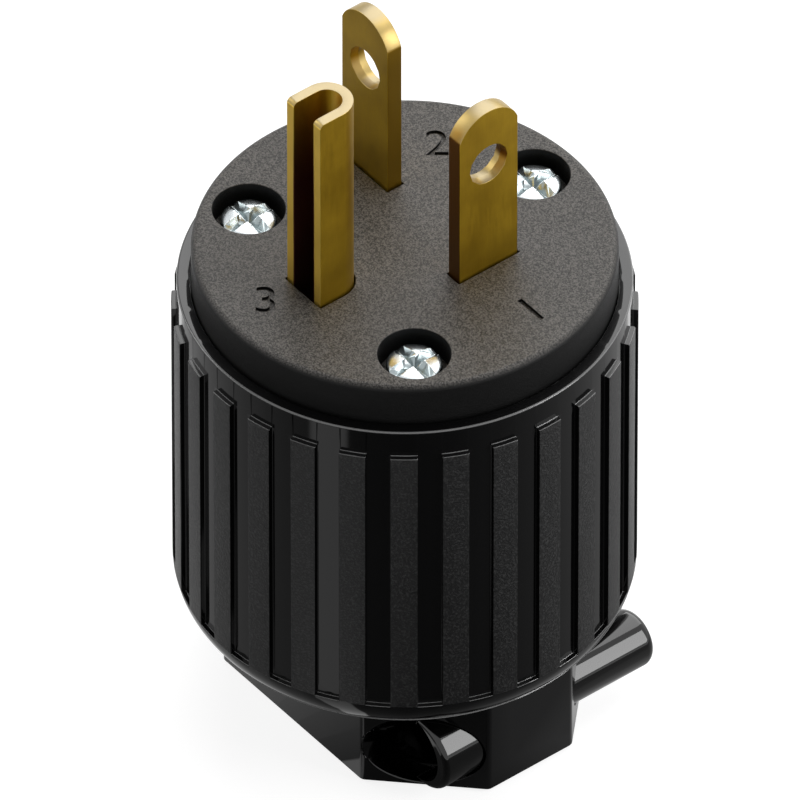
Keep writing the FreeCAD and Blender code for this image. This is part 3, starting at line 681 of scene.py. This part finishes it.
face_grey, shader, at = finish_of("face_grey", Specular_IOR_Level=0.2)
grit = at.node("ShaderNodeTexNoise", Vector=at, Scale=6000.0, Detail=4.0, Roughness=0.85)
pits = at.node("ShaderNodeValToRGB", {"stops": [(0.45, BLACK), (0.56, WHITE)]}, Fac=grit)
cloud = at.node("ShaderNodeTexNoise", Vector=at, Scale=120.0, Detail=2.0)
# Painted sheen: faces that look upwards are painted lighter grey, speckled by the grain, while the
# walls stay near black.
sheen_top = at.node("ShaderNodeMapRange", Value=facing(at, 2), From_Min=0.4, From_Max=0.95)
tone = mixed(sheen_top * (0.1 + 0.9 * pits), (0.003, 0.003, 0.003, 1), (0.135, 0.127, 0.118, 1))
feed(shader, Base_Color=tone, Roughness=0.34 + 0.1 * cloud + 0.1 * pits,
     Normal=at.node("ShaderNodeBump", Strength=0.8, Distance=0.00005, Height=grit))
place("face_disc", face, "root", ["face"], face_grey, angle=35)


# Blades: stamped brass strips with a rounded tip and a round hole, one standing along Y and one
# along X. Each is trapped under the face by its shoulders and ends in a drilled terminal tab.
BLADE_TIP_Z = 67.56
BLADE_TIP_R = 3.35
BLADE_HOLE_Z = 61.45
BLADE_HOLE_R = 2.04
BLADE_WAIST = 0.14
BLADE_EDGE = 0.05
TAB_LOW_Z = 27.4
TAB_EDGE = 0.05
TERMINAL_Z = 31.8
TERMINAL_R = 1.95
SHOULDER_HALF = 4.3
POCKET_Z = 41.0


def blade_outline(inset):
    """Tip arc and straight sides of a blade, drawn inwards by an inset, as (across, height)."""
    half = BLADE_W / 2 - inset
    radius = BLADE_TIP_R - inset
    centre = BLADE_TIP_Z - BLADE_TIP_R
    lean = math.degrees(math.acos(half / radius))
    tip = arc(0, centre, radius, lean, 180 - lean, 28)
    heights = np.array([63.0, BLADE_HOLE_Z, 59.5, 56.0, 50.0, TAB_LOW_Z + 4])
    left = np.column_stack([np.full(len(heights), -half), heights])
    right = np.column_stack([np.full(len(heights), half), heights[::-1]])
    return np.concatenate([tip, left, right])


def plate_round_hole(outline, hole_z, hole_r, thick, edge, waist=0.0):
    """Plate with a hole: each ring of points lies between the hole and the outline, in the same
    directions from the hole's middle, and the rings go over the front, round the outer edge, over
    the back and through the hole, which is narrower by its waist halfway."""
    outer = outline(0)
    reach = outer - [0, hole_z]
    ways = reach / np.linalg.norm(reach, axis=1)[:, None]

    def bore(radius):
        """Ring at this radius: the hole's middle plus the radius times each direction."""
        return ways * radius + [0, hole_z]

    half = thick / 2
    steps = np.radians([0, 30, 60, 90])
    rings = [(bore(hole_r - waist), 0.02), (bore(hole_r), half - edge)]
    rings += [(bore(hole_r + edge * (1 - math.cos(s))), half - edge + edge * math.sin(s))
              for s in steps[1:]]
    rings += [(outline(edge * (1 - math.sin(s))), half - edge + edge * math.cos(s)) for s in steps]
    back = [(ring, -y) for ring, y in rings[::-1]]
    return stacked(rings + back)[:, :, [0, 2, 1]]


def tab_outline(inset):
    """Terminal tab under the shoulders."""
    half = BLADE_W / 2 - inset
    low, high = TAB_LOW_Z + inset, POCKET_Z
    return np.array([(half, TERMINAL_Z), (half, high), (0, high), (-half, high),
                     (-half, TERMINAL_Z), (-half, low), (0, low), (half, low)])


def blade_sheets(turn, x, y):
    """Blade, shoulders and tab of one contact, turned about Z and set in its place."""
    upper = plate_round_hole(blade_outline, BLADE_HOLE_Z, BLADE_HOLE_R, BLADE_T, BLADE_EDGE,
                             BLADE_WAIST)
    tab = plate_round_hole(tab_outline, TERMINAL_Z, TERMINAL_R, BLADE_T, TAB_EDGE)
    shoulder = block(0, 0, SHOULDER_HALF, BLADE_T / 2, POCKET_Z, SEAT_Z)
    c, s = math.cos(turn), math.sin(turn)
    spin = np.array([[c, s, 0], [-s, c, 0], [0, 0, 1]])
    spot = np.array([x, y, 0])
    return [(upper @ spin + spot, True, True), (tab @ spin + spot, True, True),
            (shoulder @ spin + spot, False, True)]


def brass_finish(name, axis, painted_side_tone, fold_r=0.0):
    """Rolled and brushed brass. Faces that look along the axis, 0 for X or 1 for Y, take the
    side's tone, which is painted light: a painted shade where it is darker, as on the blades'
    edges, and a painted highlight where it is brighter, as on the pin's. Faces that look upwards
    are painted paler, a painted highlight from the light above. Inside a fold of that radius the
    metal is painted dark brown further down, a painted shade, where the distance from the pin's
    middle line is under the radius."""
    made, shader, at = finish_of(name, Metallic=1.0, Specular_IOR_Level=0.5)
    stretch = at.node("ShaderNodeMapping", Vector=at, Scale=(1.0, 1.0, 0.05))
    brushed = at.node("ShaderNodeTexNoise", Vector=stretch, Scale=9000.0, Detail=3.0, Roughness=0.6)
    stain = at.node("ShaderNodeTexNoise", Vector=at, Scale=260.0, Detail=4.0, Roughness=0.6)
    rolled = mixed(0.7 * stain + 0.3 * brushed, (0.28, 0.150, 0.005, 1), (0.62, 0.400, 0.030, 1))
    # Painted light: faces along the axis take the side's tone, set per piece for how light falls on
    # that side.
    across = facing(at, axis).math("ABSOLUTE", 0)
    side = at.node("ShaderNodeMapRange", Value=across, From_Min=0.8, From_Max=0.98)
    sided = mixed(side, rolled, painted_side_tone)
    upward = facing(at, 2)
    # Painted highlight: faces that look upwards (blade tips, the lower walls of the holes, the
    # pin's top) are painted paler.
    lit_top = at.node("ShaderNodeMapRange", Value=upward, From_Min=0.12, From_Max=0.4)
    level = at.node("ShaderNodeMapRange", Value=upward, From_Min=0.9, From_Max=0.98)
    pale = mixed(level, (0.36, 0.265, 0.10, 1), (0.28, 0.230, 0.137, 1))
    x = part_of(at, 0) - PIN_X * MM
    y = (part_of(at, 1) - PIN_Y * MM).math("MAXIMUM", 0)
    apart = (x * x + y * y).math("SQRT", 0)
    within = at.node("ShaderNodeMapRange", Value=apart, From_Min=(fold_r + 0.15) * MM,
                     From_Max=(fold_r + 0.05) * MM)
    low = at.node("ShaderNodeMapRange", Value=part_of(at, 2), From_Min=0.0699, From_Max=0.061)
    # Painted shade: inside the fold the colour goes to dark brown further down.
    tone = mixed(within * low, mixed(lit_top, sided, pale), (0.15, 0.05, 0.03, 1))
    feed(shader, Base_Color=tone, Roughness=0.26 + 0.16 * brushed + 0.10 * stain,
         Normal=at.node("ShaderNodeBump", Strength=0.3, Distance=0.00001, Height=brushed))
    return made


# The blades' side tones are painted shade on their edges, darker on the upright blade's than on the
# cross blade's, for how the light falls on each.
brass = brass_finish("brass", 1, (0.13, 0.055, 0.006, 1))
brass_across = brass_finish("brass_across", 0, (0.26, 0.150, 0.010, 1))
upright_mesh = mesh_from("upright_blade", blade_sheets(math.pi / 2, UPRIGHT_X, BLADES_Y), caps=(2,))
place("upright_blade", upright_mesh, "root", ["blade_upright"], brass)
cross_mesh = mesh_from("cross_blade", blade_sheets(0, CROSS_X, BLADES_Y), caps=(2,))
place("cross_blade", cross_mesh, "root", ["blade_cross"], brass_across)


# Ground pin: a brass strip folded to a U that is open towards the rim, longer than the blades so
# that it mates first. Its free edges are cut to a small radius at the top, and a flat tab from the
# back of the fold goes down to its terminal.
PIN_TOP_Z = 70.4
PIN_WALL = 0.97
PIN_CORNER = 0.5
PIN_EDGE = 0.05


def pin_sheet():
    """Folded strip: a rounded upright section carried along the U, whose top falls in an arc near
    the free ends and which thins by its edge rounding there."""
    mid_r = PIN_R - PIN_WALL / 2
    near = np.array([0, 0.015, 0.03, 0.05, 0.12, 0.2, 0.3, 0.4, 0.5])
    leg = np.concatenate([near, [1.5]])
    bend = np.linspace(0, math.pi, 33)
    fold = np.stack([mid_r * np.cos(bend), mid_r * np.sin(bend)], axis=1)
    right = np.column_stack([np.full(len(leg), mid_r), leg - PIN_LEG])
    left = np.column_stack([np.full(len(leg), -mid_r), leg[::-1] - PIN_LEG])
    path = np.concatenate([right, fold, left])
    out = np.concatenate([np.tile([1.0, 0.0], (len(leg), 1)), fold / mid_r,
                          np.tile([-1.0, 0.0], (len(leg), 1))])
    free = np.concatenate([leg, np.full(len(bend), 9.0), leg[::-1]])

    def fall(radius):
        """Drop of an arc of this radius by the distance from the free end: the radius less the
        circle's height there."""
        return radius - np.sqrt(radius ** 2 - np.clip(radius - free, 0, None) ** 2)

    thin, drop = fall(PIN_EDGE), fall(PIN_CORNER)
    half = PIN_WALL / 2
    rounding = np.radians([0, 30, 60, 90])
    outer = [(half - PIN_EDGE * (1 - math.cos(s)), -PIN_EDGE * (1 - math.sin(s))) for s in rounding]
    section = [(half, None)] + outer + [(-w, z) for w, z in outer[::-1]] + [(-half, None)]
    rows = []
    for w, z in section:
        offset = w - thin * w / half
        xy = path + out * offset[:, None] + [PIN_X, PIN_Y]
        high = np.full(len(path), POCKET_Z) if z is None else PIN_TOP_Z + z - drop
        rows.append(np.column_stack([xy, high]))
    return np.swapaxes(np.stack(rows), 0, 1)


pin_tab_y = PIN_Y + PIN_R - PIN_WALL / 2
pin_tab = plate_round_hole(tab_outline, TERMINAL_Z, TERMINAL_R, PIN_WALL, TAB_EDGE)
pin_tab = pin_tab + np.array([PIN_X, pin_tab_y, 0])
pin_shoulder = block(PIN_X, pin_tab_y, SHOULDER_HALF, PIN_WALL / 2, POCKET_Z, SEAT_Z)
pin_sheets = [(pin_sheet(), False, True), (pin_tab, True, True), (pin_shoulder, False, True)]
pin_mesh = mesh_from("folded_pin", pin_sheets, caps=(0, 2))
# The pin's side tone is a painted highlight on its faces that look along Y.
place("folded_pin", pin_mesh, "root", ["ground_pin"],
      brass_finish("brass_folded", 1, (0.98, 0.660, 0.110, 1), PIN_R - PIN_WALL))


# Screws: zinc-plated steel with a domed head and a combination recess, a cross with a slot across
# it. Three hold the face down in its wells, and two draw the clamp's jaws together.
HEAD_R = 2.43
HEAD_H = 1.95
HEAD_DOME = 0.45
SCREW_R = 1.5
SCREW_LEN = 14.6


def screw_profile(head_r, head_h, dome, shank_r, shank_l):
    """Half section of a screw, from its tip up the shank and over a spherical dome whose rise is
    given."""
    curve = (head_r ** 2 + dome ** 2) / (2 * dome)
    half = math.degrees(math.asin(head_r / curve))
    rise = head_h - dome
    crown = arc(0, head_h - curve, curve, 90 - half, 90, 10)
    edge = arc(head_r - 0.12, rise - 0.12, 0.12, 0, 60, 3)
    tip = shank_r * 0.5
    shank = [[0, -shank_l], [tip, -shank_l], [shank_r, tip - shank_l], [shank_r, 0],
             [head_r - 0.1, 0], [head_r, 0.1]]
    return np.concatenate([shank, edge, crown[1:]])


def recess(head_r, head_h, dome):
    """Cutters for the recess: two crossed V grooves as wide at the rim as in the middle, whose
    bottom line rises towards the rim while their upper edges follow the dome."""
    along = np.array([-1.3, -0.9, -0.45, 0, 0.45, 0.9, 1.3])[:, None]
    surface = head_h - dome * along ** 2
    depth = np.interp(np.abs(along), [0, 0.9, 1.3], [0.52, 0.17, 0.05]) * head_r
    across = np.array([[-1, 1, 1, 0, -1]]) * head_r * 0.24
    low = surface - depth * np.array([[0, 0, 0, 1, 0]]) + np.array([[1, 1, 0, 0, 0]]) * head_r
    groove = np.stack([along * head_r + 0 * across, across + 0 * along, low], axis=-1)
    crossed = groove[:, :, [1, 0, 2]] * [1, -1, 1]
    return groove, crossed


def screw_mesh(name, head_r, head_h, dome, shank_r, shank_l):
    """Screw at the origin, head upwards, with its recess cut."""
    profile = screw_profile(head_r, head_h, dome, shank_r, shank_l)
    obj = linked(name, mesh_from(name, [(turned(profile, 96), False, True)]))
    carve(obj, [capped("cut", points) for points in recess(head_r, head_h, dome)])
    return obj


def stand(obj, columns, spot):
    """Turns a piece's mesh by a matrix with the given columns and moves it to its spot."""
    count = len(obj.data.vertices)
    co = np.empty(count * 3)
    obj.data.vertices.foreach_get("co", co)
    co = co.reshape(-1, 3) @ np.array(columns, float) + np.array(spot) * MM
    obj.data.vertices.foreach_set("co", co.ravel())
    obj.data.update()


zinc_steel, shader, at = finish_of("zinc_steel", Metallic=1.0)
ring_marks = at.node("ShaderNodeTexNoise", Vector=at, Scale=2500.0, Detail=3.0)
tone = mixed(ring_marks, (0.46, 0.50, 0.52, 1), (0.62, 0.65, 0.66, 1))
# Painted shade: faces that don't look upwards (the recess walls, the head's rim and the shank) take
# a darker grey than the crown.
crown = at.node("ShaderNodeMapRange", Value=facing(at, 2), From_Min=0.8, From_Max=0.92)
plated = mixed(crown, (0.33, 0.38, 0.39, 1), tone)
feed(shader, Base_Color=plated, Roughness=0.20 + 0.10 * ring_marks,
     Normal=at.node("ShaderNodeBump", Strength=0.15, Distance=0.00002, Height=ring_marks))
for number, (x, y) in enumerate(screw_places, start=1):
    obj = screw_mesh("fixing_screw_%d" % number, HEAD_R, HEAD_H, HEAD_DOME, SCREW_R, SCREW_LEN)
    stand(obj, [(1, 0, 0), (0, 1, 0), (0, 0, 1)], (x, y, FACE_Z - WELL_DEPTH))
    place(obj.name, obj, "root", ["face_screw_%d" % number], zinc_steel, soft=0.04)


# Cord clamp: two black nylon jaws in the housing, grooved where they bite the cord. The front one
# has a tube at each end for a screw's head and the rear one a closed post for its thread.
JAW_OPEN_Y = 3.3
TUBE_R = 3.65
TUBE_BORE_R = 3.3
TUBE_BORE_SHIFT = 0.9
TUBE_OPEN = 0.5
TUBE_END_Y = 9.0
TUBE_ROUND = 0.5
SEAT_Y = 4.6
POST_R = 2.7
POST_END_Y = 15.2
POST_ROUND = 1.0
POST_BORE_R = 1.6
POST_END_T = 1.1
CORD_R = 8.0
JAW_GAP = 0.3
JAW_LOW = 0.3
JAW_HIGH = 8.1
JAW_LAP = 0.2
BITE_GROOVE = 0.6
BOLT_R = 1.45
BOLT_LEN = 9.9
BOLT_HOLE_R = 1.65
BOLT_HEAD_R = 2.2
BOLT_HEAD_H = 1.7


def tube_profile():
    """Rod that a half tube is cut from, with a quarter circle round its end."""
    lip = arc(TUBE_R - TUBE_ROUND, TUBE_END_Y - TUBE_ROUND, TUBE_ROUND, 0, 90, 6)
    return np.concatenate([[[TUBE_R, JAW_OPEN_Y + JAW_LAP]], lip])


def post_profile():
    """Post with a rounded closed end, and its blind bore."""
    end = POST_END_Y
    nose = arc(POST_R - POST_ROUND, end - POST_ROUND, POST_ROUND, 0, 90, 8)
    near, deep = JAW_OPEN_Y + JAW_LAP, end - POST_END_T
    return np.concatenate([[[POST_BORE_R, near], [POST_R, near]], nose,
                           [[0, end], [0, deep], [POST_BORE_R, deep]]])


def jaw_bar(side):
    """Bar of a jaw: its outline at rising heights, whose round bite is cut back by three V
    grooves."""
    inset = HOUSING_WALL_Y + JAW_GAP
    slant = HOUSING_X + HOUSING_Y - HOUSING_CHAMFER - inset * math.sqrt(2)
    half_y = HOUSING_Y - inset
    bite = math.degrees(math.asin(JAW_OPEN_Y / CORD_R))
    heights = [JAW_LOW]
    depth = [0.0]
    for z in np.linspace(JAW_LOW, JAW_HIGH, 5)[1:-1]:
        heights += [z - BITE_GROOVE, z, z + BITE_GROOVE]
        depth += [0.0, BITE_GROOVE, 0.0]
    heights.append(JAW_HIGH)
    depth.append(0.0)
    rows = []
    for z, d in zip(heights, depth):
        inner = arc(0, 0, CORD_R + d, 180 - bite, bite, 24)
        inner[:, 1] = np.maximum(inner[:, 1], JAW_OPEN_Y)
        outer = [(slant - JAW_OPEN_Y, JAW_OPEN_Y), (slant - half_y, half_y),
                 (half_y - slant, half_y), (JAW_OPEN_Y - slant, JAW_OPEN_Y)]
        ring = np.concatenate([inner, outer]) * [1, side]
        rows.append((ring, z))
    return stacked(rows)


def speckled(name, scale, detail, dark, light, rough, **constants):
    """A material with one noise: its colour goes from dark to light with it, and its roughness
    rises by 0.2."""
    made, shader, at = finish_of(name, **constants)
    dust = at.node("ShaderNodeTexNoise", Vector=at, Scale=scale, Detail=detail)
    feed(shader, Base_Color=mixed(dust, dark, light), Roughness=rough + 0.2 * dust)
    return made


# Painted shade: the clamp bolts are zinc-plated steel, but they are painted near black for the
# shade deep in the tube bores.
bolt_shade_steel = speckled("bolt_shade_steel", 2500.0, 3.0, (0.02, 0.02, 0.021, 1), (0.05, 0.05, 0.052, 1),
                      0.35, Metallic=1.0)
jaw_black, shader, at = finish_of("jaw_black", Specular_IOR_Level=0.6)
bloom = at.node("ShaderNodeTexNoise", Vector=at, Scale=300.0, Detail=3.0)
tone = mixed(bloom, (0.0012, 0.0012, 0.0012, 1), (0.003, 0.003, 0.003, 1))
feed(shader, Base_Color=tone, Roughness=0.04 + 0.04 * bloom,
     Normal=at.node("ShaderNodeBump", Strength=0.05, Distance=0.00002, Height=bloom))
rear = [(jaw_bar(1), False, True)]
for side in (-1, 1):
    rear.append((turned(post_profile(), 96, (side * CLAMP_X, 0, CLAMP_Z), "y"), True, True))
place("rear_clamp_jaw", mesh_from("rear_clamp_jaw", rear, caps=(0,)), "rear_jaw",
      ["rear_jaw"], jaw_black)
bores = []
for side, end in ((-1, "left"), (1, "right")):
    axis_x = side * CLAMP_X
    bore = turned(np.array([(TUBE_BORE_R, SEAT_Y), (TUBE_BORE_R, WAY_REACH)]), 128,
                  (axis_x - side * TUBE_BORE_SHIFT, 0, CLAMP_Z), "-y")
    hole = turned(np.array([(BOLT_HOLE_R, 0.0), (BOLT_HOLE_R, WAY_REACH)]), 48,
                  (axis_x, 0, CLAMP_Z), "-y")
    open_side = block(axis_x - side * (TUBE_OPEN + 5), -15, 5, 15 - SEAT_Y,
                      CLAMP_Z - 6, CLAMP_Z + 6)
    bores += [bore, hole]
    tube = turned(tube_profile(), 128, (axis_x, 0, CLAMP_Z), "-y")
    obj = linked("clamp_tube_" + end, capped("clamp_tube_" + end, tube))
    carve(obj, [capped("cut", points) for points in (bore, hole, open_side)])
    place(obj.name, obj, "front_jaw", ["front_jaw"], jaw_black, soft=0.05)
    obj = screw_mesh("clamp_bolt_" + end, BOLT_HEAD_R, BOLT_HEAD_H, HEAD_DOME, BOLT_R, BOLT_LEN)
    stand(obj, [(1, 0, 0), (0, 0, 1), (0, -1, 0)], (axis_x, -SEAT_Y, CLAMP_Z))
    place(obj.name, obj, "front_jaw", ["clamp_screw_" + end], bolt_shade_steel, soft=0.04)
obj = linked("front_clamp_jaw", capped("front_clamp_jaw", jaw_bar(-1)))
carve(obj, [capped("cut", points) for points in bores])
place(obj.name, obj, "front_jaw", ["front_jaw"], jaw_black)


# Cord seal and the pieces inside: the rubber ring round the cord, the black carrier, the green and
# brass terminal screws, their plates and the brass inserts, which show only through the cord hole.
seal = np.array([(CORD_HOLE_R, 10.9), (10.4, 10.9), (10.4, 12.5), (7.5, 12.5), (4.6, 13.8),
                 (4.6, 13.0), (7.5, 11.7)])
seal_rubber = speckled("seal_rubber", 900.0, 4.0, (0.012, 0.012, 0.012, 1), (0.03, 0.03, 0.03, 1),
                       0.6)
carrier_black = speckled("carrier_black", 1500.0, 4.0, (0.02, 0.02, 0.02, 1),
                         (0.04, 0.04, 0.04, 1), 0.45)
green_screw = speckled("green_screw", 1500.0, 4.0, (0.02, 0.22, 0.07, 1), (0.04, 0.33, 0.12, 1),
                       0.25, Metallic=0.8)
place("seal_ring", mesh_from("seal_ring", [(turned(seal, 96), True, True)]), "root",
      ["cord_seal"], seal_rubber, soft=0.1)
inner = {"contact_carrier": carrier_black, "terminal_screw_upright": brass,
         "terminal_screw_cross": brass, "terminal_screw_ground": green_screw,
         "wire_clamp_upright": zinc_steel, "wire_clamp_cross": zinc_steel,
         "wire_clamp_ground": zinc_steel, "insert_1": brass, "insert_2": brass, "insert_3": brass}
for name, material in inner.items():
    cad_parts[name].data.materials.clear()
    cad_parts[name].data.materials.append(material)
